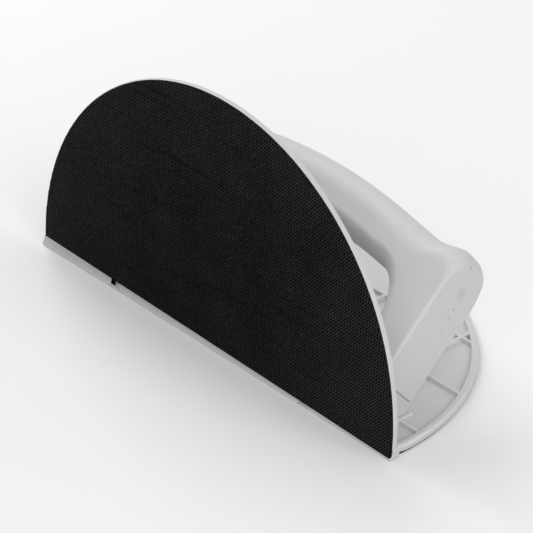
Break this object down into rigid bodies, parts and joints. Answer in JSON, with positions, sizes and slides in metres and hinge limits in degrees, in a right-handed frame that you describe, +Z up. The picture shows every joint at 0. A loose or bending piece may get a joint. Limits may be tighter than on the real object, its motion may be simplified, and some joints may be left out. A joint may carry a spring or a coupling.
{
  "type": "half-round sanding block",
  "caption": "Hand sander for inside corners: two half-disc plates in a right angle with hook pads outside and a shared bridge handle inside the corner.",
  "frame": {"origin": "middle of the footprint, on the surface that the base pad rests on", "axes": "+X along the corner, +Y from the corner over the base plate, +Z up the front plate"},
  "size_m": [0.2266, 0.1234, 0.1194],
  "materials": {
    "plate_plastic": "satin moulded",
    "handle_plastic": "satin moulded",
    "bracket_plastic": "satin moulded",
    "hook_fabric": "hook fabric with a fine dot grid",
    "screw_steel": "zinc plated"
  },
  "bodies": {
    "root": {"base_plate": "plate_plastic", "front_plate": "plate_plastic", "base_hook_pad": "hook_fabric", "front_hook_pad": "hook_fabric", "handle_base_shell": "handle_plastic", "handle_front_shell": "handle_plastic", "left_leg_bracket": "bracket_plastic", "right_leg_bracket": "bracket_plastic", "shell_screw_1": "screw_steel", "shell_screw_2": "screw_steel", "shell_screw_3": "screw_steel", "shell_screw_4": "screw_steel", "base_plate_screw_1": "screw_steel", "base_plate_screw_2": "screw_steel", "base_plate_screw_3": "screw_steel", "base_plate_screw_4": "screw_steel", "front_plate_screw_1": "screw_steel", "front_plate_screw_2": "screw_steel", "front_plate_screw_3": "screw_steel", "front_plate_screw_4": "screw_steel"}
  },
  "joints": []
}
